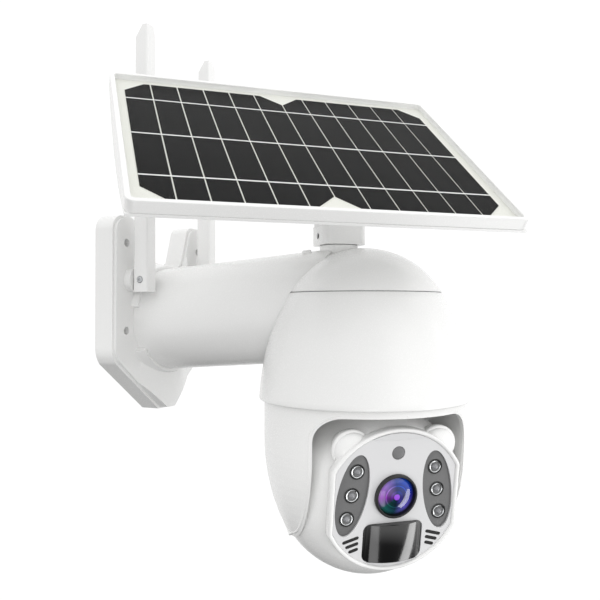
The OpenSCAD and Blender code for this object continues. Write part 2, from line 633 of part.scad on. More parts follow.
module lamp_windows() color([0.36, 0.36, 0.37]) at_ball() at_lamp_window() difference() {
    facing(face_y - 3, face_y - 0.8) oval(window_w, window_h);
    for (k = [-1:1]) facing(0, 100) translate([0, k * lamp_step]) circle(lamp_r + gap);
}
module lamps() color([0.9, 0.9, 0.85]) at_ball() at_lamp_window() for (k = [-1:1])
    translate([0, 0, k * lamp_step]) rotate([90, 0, 0]) {
        translate([0, 0, face_y - 6]) ring(lamp_r, lamp_r - 0.9, 5.6);
        translate([0, 0, face_y - 6]) cylinder(h = 1, r = lamp_r - 0.9);
        translate([0, 0, face_y - 5]) cylinder(h = 2.2, r = 2);
        translate([0, 0, face_y - 2.8]) sphere(2);
    }
module motion_window() color([0.05, 0.05, 0.06]) at_ball() intersection() {
    facing(face_y - 2.9, face_y + 4) motion_outline();
    translate([0, -face_y + 35, motion_z]) difference() {
        translate([0, 0, -30]) cylinder(h = 60, r = 38);
        translate([0, 0, -31]) cylinder(h = 62, r = 36.2);
    }
}
module grille_bars() color([0.05, 0.05, 0.05]) at_ball() bars();
module speaker() color("dimgray") at_ball() translate([19, -face_y + 5, -18]) rotate([90, 0, 0])
    translate([0, 0, -6]) cylinder(h = 5.5, r = 6);
// Reset button and card door at the back of the ball
module reset_button() color("dimgray") at_ball() translate([0, 0, -22]) rotate([-90, 0, 0])
    translate([0, 0, 43]) cylinder(h = 6.5, r = 2.5, $fn = 48);
module service_cover() color(inner_colour) at_ball() intersection() {
    translate([-13 + gap, 44, -16 + gap]) cube([26 - 2 * gap, 20, 11 - 2 * gap]);
    difference() { ball_core(0.3); ball_core(ball_wall); }
}

wall_plate();
arm_tube();
arm_bulkhead();
battery_cells();
battery_holder();
antenna_stub_left();
antenna_stub_right();
antenna_left();
antenna_right();
antenna_screws_left();
antenna_screws_right();
swivel_peg();
swivel_collar();
set_screw();
panel_bracket();
tilt_pin();
tilt_knob();
hinge_foot();
foot_screws();
panel_back();
panel_rim();
backing_sheet();
solar_cells();
busbars();
panel_glass();
junction_box();
dome_cap();
cap_seal();
dome_shell();
chassis_plate();
main_board();
pan_motor();
pan_pinion();
pan_bearing();
fork_shell();
fork_hub();
pan_gear();
cheek_plates();
tilt_bush();
tilt_axle();
tilt_gear();
tilt_pinion();
tilt_motor();
ball_rear();
ball_front();
trunnion();
face_bezel();
face_plate();
lens_barrel();
lens_glass();
image_board();
light_sensor();
lamp_windows();
lamps();
motion_window();
grille_bars();
speaker();
reset_button();
service_cover();
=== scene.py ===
"""Solar-powered pan and tilt security camera: its visual model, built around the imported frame."""

import json
import math

import bmesh
import bpy
from mathutils import Matrix, Vector


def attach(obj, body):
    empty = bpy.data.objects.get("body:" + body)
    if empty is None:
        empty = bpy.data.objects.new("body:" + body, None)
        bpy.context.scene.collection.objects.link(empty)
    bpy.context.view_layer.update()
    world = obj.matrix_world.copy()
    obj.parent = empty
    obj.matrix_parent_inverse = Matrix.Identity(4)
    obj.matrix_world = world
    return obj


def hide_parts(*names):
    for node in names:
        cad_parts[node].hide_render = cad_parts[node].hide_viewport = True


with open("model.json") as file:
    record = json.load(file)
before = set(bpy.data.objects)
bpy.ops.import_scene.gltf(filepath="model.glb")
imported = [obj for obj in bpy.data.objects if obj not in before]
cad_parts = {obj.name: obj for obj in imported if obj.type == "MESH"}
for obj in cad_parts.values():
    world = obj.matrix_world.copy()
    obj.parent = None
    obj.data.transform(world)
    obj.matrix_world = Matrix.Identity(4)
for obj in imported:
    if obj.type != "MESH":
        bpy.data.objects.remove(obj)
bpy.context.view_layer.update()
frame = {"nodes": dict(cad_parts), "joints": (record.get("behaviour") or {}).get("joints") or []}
nodes = frame["nodes"]
joints = {joint["name"]: joint for joint in frame["joints"]}


# ---- Camera ----
# It stands level with the arm, to the left of the dome and further from the wall, and looks along the wall,
# turned 25 degrees towards it.
camera_data = bpy.data.cameras.new("camera")
camera_data.lens = 42
camera_data.sensor_width = 36
camera = bpy.data.objects.new("camera", camera_data)
camera_target = Vector((-0.0944, -0.1662, 0.0125))
camera.location = (-0.4122, -0.3137, 0.0070)
camera.rotation_euler = (camera_target - camera.location).to_track_quat("-Z", "Y").to_euler()
bpy.context.scene.collection.objects.link(camera)
bpy.context.scene.camera = camera


# ---- Studio ----
# A white surround, brightest overhead, that turns dark below and so shades the undersides. A soft lamp and a
# tall strip light the front. A low lamp and a card below draw bright bands on the upright black window.
def linear(hex_colour):
    """An sRGB hex colour as linear RGBA."""
    channels = [int(hex_colour[i:i + 2], 16) / 255 for i in (0, 2, 4)]
    return tuple(c / 12.92 if c <= 0.04045 else ((c + 0.055) / 1.055) ** 2.4 for c in channels) + (1,)


def add_node(tree, kind, inputs=None, **settings):
    """Adds a node. Its inputs are values, or outputs of other nodes to link."""
    node = tree.nodes.new(kind)
    for name, value in settings.items():
        setattr(node, name, value)
    for socket, value in (inputs or {}).items():
        if isinstance(value, bpy.types.NodeSocket):
            tree.links.new(value, node.inputs[socket])
        else:
            node.inputs[socket].default_value = value
    return node


def set_stops(ramp, stops):
    """Gives a colour ramp its stops, as (place, hex colour) pairs."""
    while len(ramp.elements) < len(stops):
        ramp.elements.new(1)
    for element, (place, colour) in zip(ramp.elements, stops):
        element.position = place
        element.color = linear(colour)


world = bpy.data.worlds.new("studio")
bpy.context.scene.world = world
world.use_nodes = True
world.node_tree.nodes.clear()
direction = add_node(world.node_tree, "ShaderNodeTexCoord")
direction_parts = add_node(world.node_tree, "ShaderNodeSeparateXYZ", {0: direction.outputs["Generated"]})
height = add_node(world.node_tree, "ShaderNodeMapRange",
                  {"Value": direction_parts.outputs["Z"], "From Min": -1.0})
band = add_node(world.node_tree, "ShaderNodeValToRGB", {0: height.outputs[0]})
set_stops(band.color_ramp, [(0, "3A3A3A"), (0.2, "4A4A4A"), (0.29, "E8E8E8"), (0.7, "E8E8E8"),
                            (1, "FFFFFF")])
sky = add_node(world.node_tree, "ShaderNodeBackground", {"Color": band.outputs[0], "Strength": 1.3})
add_node(world.node_tree, "ShaderNodeOutputWorld", {"Surface": sky.outputs[0]})
bpy.context.scene.view_settings.view_transform = "Standard"


def soft_lamp(name, place, aim, width, height, watts):
    """A rectangular soft lamp at a place, turned to a point."""
    data = bpy.data.lights.new(name, "AREA")
    data.shape = "RECTANGLE"
    data.size = width
    data.size_y = height
    data.energy = watts
    lamp = bpy.data.objects.new(name, data)
    lamp.location = place
    lamp.rotation_euler = (Vector(aim) - Vector(place)).to_track_quat("-Z", "Y").to_euler()
    bpy.context.scene.collection.objects.link(lamp)


dome_centre = Vector((0, -0.166, -0.03))
soft_lamp("front_lamp", (-0.5, -1.3, 0.3), dome_centre, 0.8, 0.8, 1.2)
soft_lamp("low_lamp", (0.2, -1.15, -0.76), dome_centre, 0.34, 0.8, 4)
soft_lamp("left_card", (-0.75, -0.56, -0.72), dome_centre, 0.3, 0.8, 1.4)
soft_lamp("right_strip", (0.55, -1.15, -0.05), dome_centre, 0.16, 1.1, 0.5)


def mesh_piece(name, bm, material, body, replaced=(), sharp=35):
    """Finishes a mesh in metres as a piece that rides on a body, smooth except at its sharp edges."""
    bmesh.ops.remove_doubles(bm, verts=bm.verts, dist=1e-6)
    bmesh.ops.recalc_face_normals(bm, faces=bm.faces)
    mesh = bpy.data.meshes.new(name)
    bm.to_mesh(mesh)
    bm.free()
    mesh.materials.append(material)
    mesh.shade_smooth()
    mesh.set_sharp_from_angle(angle=math.radians(sharp))
    piece = bpy.data.objects.new(name, mesh)
    bpy.context.scene.collection.objects.link(piece)
    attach(piece, body)
    if replaced:
        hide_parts(*replaced)
    return piece


# ---- Finishes of the shell ----
# Injection-moulded plastics. They shrink a little unevenly as they cool, which shows as slow waves of shade
# about 20 mm across, and a fine texture of half a millimetre or more breaks up reflections.
def moulded(name, colour, deep, roughness, grain_mm=0.5, grain=0.02, coat=0.0):
    """Moulded plastic: a colour and its deeper shade, a roughness, and the size and depth of its texture."""
    material = bpy.data.materials.new(name)
    material.use_nodes = True
    tree = material.node_tree
    shader = tree.nodes["Principled BSDF"]
    place = add_node(tree, "ShaderNodeTexCoord").outputs["Object"]
    waves = add_node(tree, "ShaderNodeTexNoise", {"Vector": place, "Scale": 1 / 0.020, "Detail": 2.0})
    texture = add_node(tree, "ShaderNodeTexNoise",
                       {"Vector": place, "Scale": 1000 / grain_mm, "Detail": 3.0, "Roughness": 0.6})
    shade = add_node(tree, "ShaderNodeMix", {0: waves.outputs[0], 6: linear(colour), 7: linear(deep)},
                     data_type="RGBA")
    gloss = add_node(tree, "ShaderNodeMapRange",
                     {"Value": texture.outputs[0], "From Min": 0.3, "From Max": 0.7,
                      "To Min": roughness * 0.88, "To Max": roughness * 1.12})
    bump = add_node(tree, "ShaderNodeBump",
                    {"Height": texture.outputs[0], "Strength": grain, "Distance": 0.0004})
    tree.links.new(shade.outputs[2], shader.inputs["Base Color"])
    tree.links.new(gloss.outputs[0], shader.inputs["Roughness"])
    tree.links.new(bump.outputs[0], shader.inputs["Normal"])
    shader.inputs["IOR"].default_value = 1.53
    shader.inputs["Coat Weight"].default_value = coat
    shader.inputs["Coat Roughness"].default_value = 0.08
    return material


def carried(material, *names):
    """Gives a finish to CAD nodes whose shape is kept."""
    for name in names:
        mesh = nodes[name].data
        mesh.materials.clear()
        mesh.materials.append(material)


def softened(name, node, radius, material, body, segments=3):
    """A moulded part with the round edges that its mould gives it, from a CAD node with square edges."""
    bm = bmesh.new()
    bm.from_mesh(nodes[node].data)
    bmesh.ops.remove_doubles(bm, verts=bm.verts, dist=1e-6)
    bmesh.ops.dissolve_limit(bm, angle_limit=math.radians(0.6), verts=bm.verts, edges=bm.edges)
    corners = [e for e in bm.edges if len(e.link_faces) == 2 and e.calc_face_angle() > math.radians(28)]
    bmesh.ops.bevel(bm, geom=corners, offset=radius / 1000, offset_type="OFFSET", affect="EDGES",
                    segments=segments, profile=0.5, material=-1, clamp_overlap=True)
    piece = mesh_piece(name, bm, material, body, [node], sharp=50)
    weighted = piece.modifiers.new("flat_faces_stay_flat", "WEIGHTED_NORMAL")
    weighted.keep_sharp = True
    return piece


white_abs = moulded("glossy_white_abs", "EFEFEE", "ECECEB", 0.26, grain=0.015)
satin_abs = moulded("satin_white_abs", "E8E8E7", "E4E4E3", 0.42, grain=0.05)
black_abs = moulded("satin_black_abs", "0E0E0F", "141415", 0.38, grain=0.05)
dark_abs = moulded("dark_grey_glass_filled_nylon", "3A3B3D", "444547", 0.55, grain_mm=0.8, grain=0.12)


# ---- Wall plate ----
# A thick moulded plate with two ears and a pointed foot. Its middle swells towards the arm, and round flat
# pads are sunk into the swelling for the four wall screws. A boss on its front carries the arm.
softened("wall_plate_moulding", "wall_plate", 1.4, white_abs, "mount")


# ---- Arm ----
# A round tube that rises slightly to the dome, with a small lug on top that guides the panel's lead.
carried(white_abs, "arm_tube")
arm_rise, lug_lean = 4.3, 19
lug_size, lug_round = (2.4, 6.0, 4.4), 0.0009
lug_place = (Matrix.Translation((-0.0113, -0.1325, 0.0431))
             @ Matrix.Rotation(math.radians(-arm_rise), 4, "X")
             @ Matrix.Rotation(math.radians(-lug_lean), 4, "Y"))
lug = bmesh.new()
bmesh.ops.create_cube(lug, size=0.001)
bmesh.ops.scale(lug, verts=lug.verts, vec=lug_size)
bmesh.ops.bevel(lug, geom=lug.edges, offset=lug_round, offset_type="OFFSET", affect="EDGES", segments=4,
                profile=0.5, material=-1)
bmesh.ops.transform(lug, matrix=lug_place, verts=lug.verts)
mesh_piece("lead_guide", lug, white_abs, "mount")


# ---- Antennas ----
# Two flat blade antennas, each a closed moulding with rounded edges, screwed to a knuckle on the plate.
for side in ("left", "right"):
    softened(f"antenna_knuckle_{side}", f"antenna_stub_{side}", 0.8, white_abs, "mount")
    softened(f"antenna_blade_{side}", f"antenna_{side}", 0.7, white_abs, f"antenna_{side}")


# ---- Metal finish, and shapes turned about an axis ----
def brushed(name, colour, roughness, line_mm=0.15):
    """Plated, metallised or turned metal, whose gloss varies in fine lines."""
    material = bpy.data.materials.new(name)
    material.use_nodes = True
    tree = material.node_tree
    shader = tree.nodes["Principled BSDF"]
    place = add_node(tree, "ShaderNodeTexCoord").outputs["Object"]
    stretched = add_node(tree, "ShaderNodeMapping", {"Vector": place, "Scale": (1.0, 1.0, 0.08)})
    lines = add_node(tree, "ShaderNodeTexNoise",
                     {"Vector": stretched.outputs[0], "Scale": 1000 / line_mm})
    shade = add_node(tree, "ShaderNodeMix", {0: lines.outputs[0], 6: linear(colour), 7: linear("FFFFFF")},
                     data_type="RGBA", blend_type="MULTIPLY")
    gloss = add_node(tree, "ShaderNodeMapRange",
                     {"Value": lines.outputs[0], "To Min": roughness * 0.7, "To Max": roughness * 1.3})
    bump = add_node(tree, "ShaderNodeBump",
                    {"Height": lines.outputs[0], "Strength": 0.1, "Distance": 0.0002})
    tree.links.new(shade.outputs[2], shader.inputs["Base Color"])
    tree.links.new(gloss.outputs[0], shader.inputs["Roughness"])
    tree.links.new(bump.outputs[0], shader.inputs["Normal"])
    shader.inputs["Metallic"].default_value = 1.0
    return material


def turned(bm, profile, steps=64):
    """Spins a profile of (radius, height) pairs once round Z."""
    points = [bm.verts.new((radius, 0, height)) for radius, height in profile]
    chain = [bm.edges.new(pair) for pair in zip(points, points[1:])]
    bmesh.ops.spin(bm, geom=points + chain, cent=(0, 0, 0), axis=(0, 0, 1), angle=2 * math.pi, steps=steps,
                   use_merge=True)
    bmesh.ops.remove_doubles(bm, verts=bm.verts, dist=1e-5)


def arc(centre, radius, start, end, steps):
    """Points along an arc, angles in degrees."""
    angles = [math.radians(start + (end - start) * i / steps) for i in range(steps + 1)]
    return [(centre[0] + radius * math.cos(a), centre[1] + radius * math.sin(a)) for a in angles]


def copied(bm, source, matrix):
    """Adds a copy of another mesh, moved by a matrix."""
    copy = source.copy()
    bmesh.ops.transform(copy, matrix=matrix, verts=copy.verts)
    mesh = bpy.data.meshes.new("copy")
    copy.to_mesh(mesh)
    bm.from_mesh(mesh)
    bpy.data.meshes.remove(mesh)
    copy.free()


# ---- Antenna screws ----
# Pan-headed screws of zinc-plated steel hold each blade to its knuckle. A head shows on both sides of it.
mm = Matrix.Scale(0.001, 4)
zinc = brushed("zinc_plated_steel", "B9BBBD", 0.32)
blade_w = 10.5
screw_head = bmesh.new()
turned(screw_head, [(0, -1.2), (2.2, -1.2), *arc((1.6, -0.2), 0.6, 0, 90, 4),
                    (0.9, 0.35), (0.8, -0.2), (0, -0.3)])
for side in ("left", "right"):
    pivot = Matrix.Translation(joints[f"antenna_{side}_swing"]["pos_m"]) @ mm
    heads = bmesh.new()
    for turn in (90, -90):
        copied(heads, screw_head, pivot @ Matrix.Rotation(math.radians(turn), 4, "Y")
               @ Matrix.Translation((0, 0, blade_w / 2)))
    mesh_piece(f"antenna_screw_heads_{side}", heads, zinc, f"antenna_{side}",
               [f"antenna_screws_{side}"])
screw_head.free()


# ---- Swivel post, collar and bracket ----
# A post stands on the end of the arm. A square collar turns on it, held by a black socket screw, and the
# bracket on the collar reaches sideways to the pin that the panel tilts on.
softened("swivel_post", "swivel_peg", 0.6, white_abs, "mount")
softened("swivel_collar_moulding", "swivel_collar", 0.8, white_abs, "bracket")
softened("bracket_moulding", "panel_bracket", 0.7, satin_abs, "bracket")
softened("panel_foot", "hinge_foot", 0.6, satin_abs, "panel")
softened("tilt_knob_moulding", "tilt_knob", 0.5, dark_abs, "panel")
carried(black_abs, "set_screw")
carried(zinc, "tilt_pin", "foot_screws")


# ---- Solar panel ----
# A curved white housing with a rim. A sheet of tempered glass covers two wafers, each cut into six strips,
# on an off-white backsheet. Three tinned ribbons cross every strip.
softened("panel_housing", "panel_back", 1.2, white_abs, "panel")
softened("panel_frame", "panel_rim", 0.5, white_abs, "panel")
panel_turn, panel_slope = 46.6, 38.4
pin_drop = 0.0274
panel_place = (Matrix.Translation(joints["panel_tilt"]["pos_m"])
               @ Matrix.Rotation(math.radians(-panel_turn), 4, "Z")
               @ Matrix.Rotation(math.radians(panel_slope), 4, "X") @ Matrix.Translation((0, 0, pin_drop)))


def local_mm(tree, place):
    """Object coordinates turned into a place's own axes, in millimetres."""
    here = add_node(tree, "ShaderNodeTexCoord").outputs["Object"]
    return add_node(tree, "ShaderNodeMapping",
                    {"Vector": here, "Location": place.translation, "Rotation": place.to_euler(),
                     "Scale": (0.001,) * 3}, vector_type="TEXTURE").outputs[0]


def silicon():
    """Monocrystalline wafer: nearly black, with printed silver fingers along each strip, 1.7 mm apart."""
    finger_step, finger_w = 1.7, 0.34
    material = bpy.data.materials.new("monocrystalline_silicon")
    material.use_nodes = True
    tree = material.node_tree
    shader = tree.nodes["Principled BSDF"]
    place = local_mm(tree, panel_place)
    across = add_node(tree, "ShaderNodeSeparateXYZ", {0: place}).outputs["X"]
    wrapped = add_node(tree, "ShaderNodeMath", {0: across, 1: finger_step, 2: 0.0}, operation="WRAP")
    finger = add_node(tree, "ShaderNodeMath", {0: wrapped.outputs[0], 1: finger_w}, operation="LESS_THAN")
    grain = add_node(tree, "ShaderNodeTexNoise", {"Vector": place, "Scale": 0.15, "Detail": 2.0})
    wafer = add_node(tree, "ShaderNodeMix", {0: grain.outputs[0], 6: linear("040405"), 7: linear("070709")},
                     data_type="RGBA")
    shade = add_node(tree, "ShaderNodeMix",
                     {0: finger.outputs[0], 6: wafer.outputs[2], 7: linear("242422")}, data_type="RGBA")
    rough = add_node(tree, "ShaderNodeMapRange",
                     {"Value": finger.outputs[0], "To Min": 0.45, "To Max": 0.6})
    tree.links.new(shade.outputs[2], shader.inputs["Base Color"])
    tree.links.new(rough.outputs[0], shader.inputs["Roughness"])
    shader.inputs["Specular IOR Level"].default_value = 0.06
    return material


glass = bpy.data.materials.new("tempered_low_glare_glass")
glass.use_nodes = True
glass_shader = glass.node_tree.nodes["Principled BSDF"]
glass_place = add_node(glass.node_tree, "ShaderNodeTexCoord").outputs["Object"]
stipple = add_node(glass.node_tree, "ShaderNodeTexNoise",
                   {"Vector": glass_place, "Scale": 900.0, "Detail": 2.0})
stipple_bump = add_node(glass.node_tree, "ShaderNodeBump",
                        {"Height": stipple.outputs[0], "Strength": 0.04, "Distance": 0.0003})
glass.node_tree.links.new(stipple_bump.outputs[0], glass_shader.inputs["Normal"])
glass_shader.inputs["Base Color"].default_value = linear("26292B")
glass_shader.inputs["Roughness"].default_value = 0.12
glass_shader.inputs["IOR"].default_value = 1.52
glass_shader.inputs["Alpha"].default_value = 0.01
backsheet = moulded("fluoropolymer_backsheet", "E3E4DD", "DFE0D8", 0.5, grain_mm=1.2, grain=0.06)
ribbon = moulded("tinned_copper_ribbon", "F1F2F0", "E4E5E3", 0.35, grain_mm=0.7, grain=0.05)
carried(silicon(), "solar_cells")
carried(ribbon, "busbars")
carried(backsheet, "backing_sheet")
carried(glass, "panel_glass")
carried(dark_abs, "junction_box")


# ---- Dome ----
# A round cap on a bell-shaped shell, both moulded 2.6 mm thick. They meet at a fine seam with a grey seal in
# it, and the shell ends in a rounded lip that hangs over the turning head.
dome_axis = Matrix.Translation((0, joints["head_pan"]["pos_m"][1], 0))
dome_place = dome_axis @ mm
dome_r, dome_wall, dome_wide_z, dome_drop = 65.3, 2.6, -60, 116
rim_z, seam_z, cap_top_z = -47, 18, 46
seam_chamfer = 0.5


def bell_r(z):
    """Radius of the dome's outside at a height."""
    return dome_r * math.sqrt(1 - ((z - dome_wide_z) / dome_drop) ** 2)


cap_r = ((cap_top_z - seam_z) ** 2 + bell_r(seam_z) ** 2) / (2 * (cap_top_z - seam_z))
cap_centre = cap_top_z - cap_r
shell_steps = 22
shell_low, shell_high = rim_z + 1, seam_z - seam_chamfer
shell_heights = [shell_low + (shell_high - shell_low) * i / shell_steps for i in range(shell_steps + 1)]
shell_outside = [(bell_r(z), z) for z in shell_heights]
shell_inside = [(r - dome_wall, z) for r, z in reversed(shell_outside)]
lip_flatness = 0.87
lip = arc((bell_r(rim_z) - dome_wall / 2, shell_low), dome_wall / 2 - 0.15, 180, 360, 6)
lip = [(r, shell_low + (z - shell_low) * lip_flatness) for r, z in lip[1:-1]]
shell = bmesh.new()
turned(shell, [*shell_outside, (bell_r(seam_z) - seam_chamfer, seam_z), (bell_r(seam_z) - dome_wall, seam_z),
               *shell_inside, *lip, shell_outside[0]], 160)
bmesh.ops.transform(shell, matrix=dome_place, verts=shell.verts)
mesh_piece("dome_shell_moulding", shell, white_abs, "mount", ["dome_shell"])

cap_edge_z = seam_z + 0.4
cap_edge = math.degrees(math.asin((cap_edge_z + seam_chamfer - cap_centre) / cap_r))
cap_outside = arc((0, cap_centre), cap_r, 90, cap_edge, 20)
cap_inside = arc((0, cap_centre), cap_r - dome_wall, cap_edge, 90, 20)
cap = bmesh.new()
turned(cap, [*cap_outside, (cap_outside[-1][0] - seam_chamfer * 0.6, cap_edge_z),
             (cap_inside[0][0], cap_edge_z), *cap_inside], 160)
bmesh.ops.transform(cap, matrix=dome_place, verts=cap.verts)
mesh_piece("dome_cap_moulding", cap, white_abs, "mount", ["dome_cap"])
seal_rubber = moulded("grey_silicone_seal", "6E6F70", "626364", 0.6, grain=0.1)
carried(seal_rubber, "cap_seal")


# ---- Fork ----
# The turning head: a moulded bell with an arch cut through it from front to back, which leaves two legs that
# hold the camera ball. A rolled lip runs round each mouth of the arch.
carried(white_abs, "fork_shell")
carried(satin_abs, "cheek_plates", "fork_hub")
fork_r, fork_bulge_z, fork_depth = 61.6, -70, 88
arch_half, arch_top, arch_r = 46.8, -51, 14
leg_end = fork_bulge_z - fork_depth * math.sqrt(1 - (arch_half / fork_r) ** 2) + 0.6
arch_lip_r, arch_lip_inset = 1.0, 0.75
head_turned, ball_raised = 48, 10
head_turn = Matrix.Rotation(math.radians(-head_turned), 4, "Z")
head_place = dome_axis @ head_turn @ mm


def fork_radius(z):
    """Radius of the fork's outside at a height."""
    return fork_r if z > fork_bulge_z else fork_r * math.sqrt(1 - ((z - fork_bulge_z) / fork_depth) ** 2)


leg_steps = 24
leg = [(arch_half, leg_end + (arch_top - arch_r - leg_end) * i / leg_steps) for i in range(leg_steps)]
half_arch = leg + arc((arch_half - arch_r, arch_top - arch_r), arch_r, 0, 90, 10)
arch = half_arch + [(0, arch_top)] + [(-x, z) for x, z in reversed(half_arch)]
for side, depth in (("front", -1), ("back", 1)):
    line = bpy.data.curves.new(f"arch_lip_{side}", "CURVE")
    line.dimensions = "3D"
    line.bevel_depth = arch_lip_r
    line.bevel_resolution = 5
    line.use_fill_caps = True
    spline = line.splines.new("POLY")
    spline.points.add(len(arch) - 1)
    for point, (x, z) in zip(spline.points, arch):
        straight = z < arch_top - arch_r
        grown_x = x + math.copysign(arch_lip_inset, x) * (1 if straight else abs(x) / arch_half)
        grown_z = z + (arch_lip_inset if z > arch_top - arch_r else 0)
        reach = math.sqrt(max(0, (fork_radius(grown_z) - arch_lip_inset) ** 2 - grown_x ** 2))
        point.co = (grown_x, depth * reach, grown_z, 1)
    swept = bpy.data.objects.new("swept", line)
    bpy.context.scene.collection.objects.link(swept)
    arch_lip = bmesh.new()
    arch_lip.from_mesh(swept.evaluated_get(bpy.context.evaluated_depsgraph_get()).to_mesh())
    bpy.data.objects.remove(swept)
    bmesh.ops.transform(arch_lip, matrix=head_place, verts=arch_lip.verts)
    mesh_piece(f"arch_lip_{side}", arch_lip, white_abs, "fork")


# ---- Camera ball ----
# Two moulded half shells. The back one is part of a sphere with flat sides; the front one blends the sphere
# into the flat face. They meet in a fine seam that runs down the ball's sides.
ball_nod = Matrix.Rotation(math.radians(ball_raised), 4, "X")
ball_place = Matrix.Translation(joints["head_tilt"]["pos_m"]) @ head_turn @ ball_nod @ mm
ball_r, ball_side, ball_wall, ball_split = 54.5, 46.1, 2.4, -4
face_y, face_half, face_low, face_h, chin_r, brow_r = 46.4, 38.7, -34.8, 83.6, 43, 44


def face_outline(inset):
    """Points round the face: an arc below, an arc above, and straight sides between them."""
    low = math.degrees(math.acos((face_half - inset) / (chin_r - inset)))
    high = math.degrees(math.acos((face_half - inset) / (brow_r - inset)))
    return (arc((0, face_low + chin_r), chin_r - inset, 180 + low, 360 - low, 44)
            + arc((0, face_low + face_h - brow_r), brow_r - inset, high, 180 - high, 44))


def ring(bm, outline, depth):
    """A closed ring of edges through outline points, at a depth in front of the tilt axis."""
    points = [bm.verts.new((x, -depth, z)) for x, z in outline]
    return [bm.edges.new(pair) for pair in zip(points, points[1:] + points[:1])]


def lofted(bm, rings):
    """Joins rings of edges, each to the next."""
    for one, other in zip(rings, rings[1:]):
        bmesh.ops.bridge_loops(bm, edges=one + other)


mouth_back, blend_back, seam_gap = 5, 6, 0.15
ball_front = bmesh.new()
bmesh.ops.create_uvsphere(ball_front, u_segments=180, v_segments=120, radius=ball_r,
                          matrix=Matrix.Rotation(math.radians(90), 4, "X"))
unused = [v for v in ball_front.verts if v.co.y < blend_back - face_y or v.co.y > 1]
bmesh.ops.delete(ball_front, geom=unused, context="VERTS")
for vertex in ball_front.verts:
    vertex.co.x = max(-ball_side, min(ball_side, vertex.co.x))
ring(ball_front, face_outline(0.6), face_y - mouth_back)
bmesh.ops.delete(ball_front, geom=ball_front.edges[:] + ball_front.faces[:], context="EDGES_FACES")
hull = bmesh.ops.convex_hull(ball_front, input=ball_front.verts)
inner_points = [v for v in hull["geom_interior"] if isinstance(v, bmesh.types.BMVert)]
bmesh.ops.delete(ball_front, geom=inner_points, context="VERTS")
bmesh.ops.bisect_plane(ball_front, geom=ball_front.verts[:] + ball_front.edges[:] + ball_front.faces[:],
                       plane_co=(0, ball_split - seam_gap, 0), plane_no=(0, 1, 0), clear_outer=True)
mouth = [f for f in ball_front.faces if f.calc_center_median().y < mouth_back + 0.2 - face_y]
bmesh.ops.delete(ball_front, geom=mouth, context="FACES")
bmesh.ops.transform(ball_front, matrix=ball_place, verts=ball_front.verts)
front_shell = mesh_piece("ball_front_moulding", ball_front, white_abs, "ball",
                         ["ball_front"], 30)
walls = front_shell.modifiers.new("moulded_wall", "SOLIDIFY")
walls.thickness = ball_wall / 1000
walls.offset = -1
carried(white_abs, "ball_rear")
carried(satin_abs, "service_cover")


# ---- Face rim and ears ----
# A white bezel clips over the front of the ball. Its front edge is rolled over, and two round ears stand up
# behind it, each with a fine step near its edge.
bezel = bmesh.new()
bezel_steps = [(0, 5), (0, 1.3), (0.15, 0.7), (0.5, 0.25), (1.0, 0.03), (1.6, 0.05), (2.1, 0.3),
               (2.45, 0.75), (2.6, 1.3), (2.6, 3), (4.4, 3), (4.4, 5)]
bezel_rings = [ring(bezel, face_outline(inset), face_y - back) for inset, back in bezel_steps]
lofted(bezel, bezel_rings + bezel_rings[:1])
bmesh.ops.transform(bezel, matrix=ball_place, verts=bezel.verts)
mesh_piece("face_bezel_moulding", bezel, white_abs, "ball", ["face_bezel"], 50)

ear_x, ear_z, ear_r = 26, 36, 11.5
ear_profile = [(0, 44.9), (3, 44.8), (6, 44.3), (8.4, 43.3), (9.7, 42.2), (10.1, 41.5), (10.15, 41.0),
               (10.7, 41.0), (ear_r, 40.4), (ear_r, 39.4), (11.2, 37.5), (10.2, 34.5), (8.5, 31), (6, 27.5),
               (0, 25)]
ear = bmesh.new()
turned(ear, ear_profile, 72)
ears = bmesh.new()
face_forward = Matrix.Rotation(math.radians(90), 4, "X")
brow_centre = face_low + face_h - brow_r
for side in (-1, 1):
    outward = Vector((side * ear_x, 0, ear_z - brow_centre)).normalized()
    cut_at = Vector((0, 0, brow_centre)) + outward * (brow_r - 3)
    half = ear.copy()
    ear_place = Matrix.Translation((side * ear_x, 0, ear_z)) @ face_forward
    bmesh.ops.transform(half, matrix=ear_place, verts=half.verts)
    cut = bmesh.ops.bisect_plane(half, geom=half.verts[:] + half.edges[:] + half.faces[:],
                                 plane_no=outward, plane_co=cut_at, clear_inner=True)
    bmesh.ops.edgenet_fill(half, edges=[e for e in cut["geom_cut"] if isinstance(e, bmesh.types.BMEdge)])
    copied(ears, half, ball_place)
    half.free()
ear.free()
mesh_piece("ear_mouldings", ears, white_abs, "ball", sharp=60)


# ---- Face plate ----
# A flat plate of light grey ABS, set a millimetre into the bezel, with a shallow raised brow along its top.
face_abs = moulded("satin_light_grey_abs", "D8D8D9", "D4D4D5", 0.4, grain=0.04)
softened("face_plate_moulding", "face_plate", 0.25, face_abs, "ball", segments=2)
brow_chord, brow_sag = 43.2, 1.2
brow_ring_r = brow_r - 2.65
brow_angle = math.degrees(math.asin((brow_chord - brow_centre) / brow_ring_r))
brow_half = brow_ring_r * math.cos(math.radians(brow_angle))
brow_steps = 32
brow_top = arc((0, brow_centre), brow_ring_r, brow_angle, 180 - brow_angle, brow_steps)
brow_shares = [i / brow_steps for i in range(brow_steps + 1)]
brow_low = [(brow_half * (1 - 2 * share), brow_chord - brow_sag * math.sin(math.pi * share))
            for share in brow_shares]
brow = bmesh.new()
brow_rings = [ring(brow, brow_top[1:-1] + brow_low[::-1], depth) for depth in (face_y - 1.4, face_y - 0.75)]
lofted(brow, brow_rings)
bmesh.ops.contextual_create(brow, geom=brow_rings[0])
bmesh.ops.contextual_create(brow, geom=brow_rings[1])
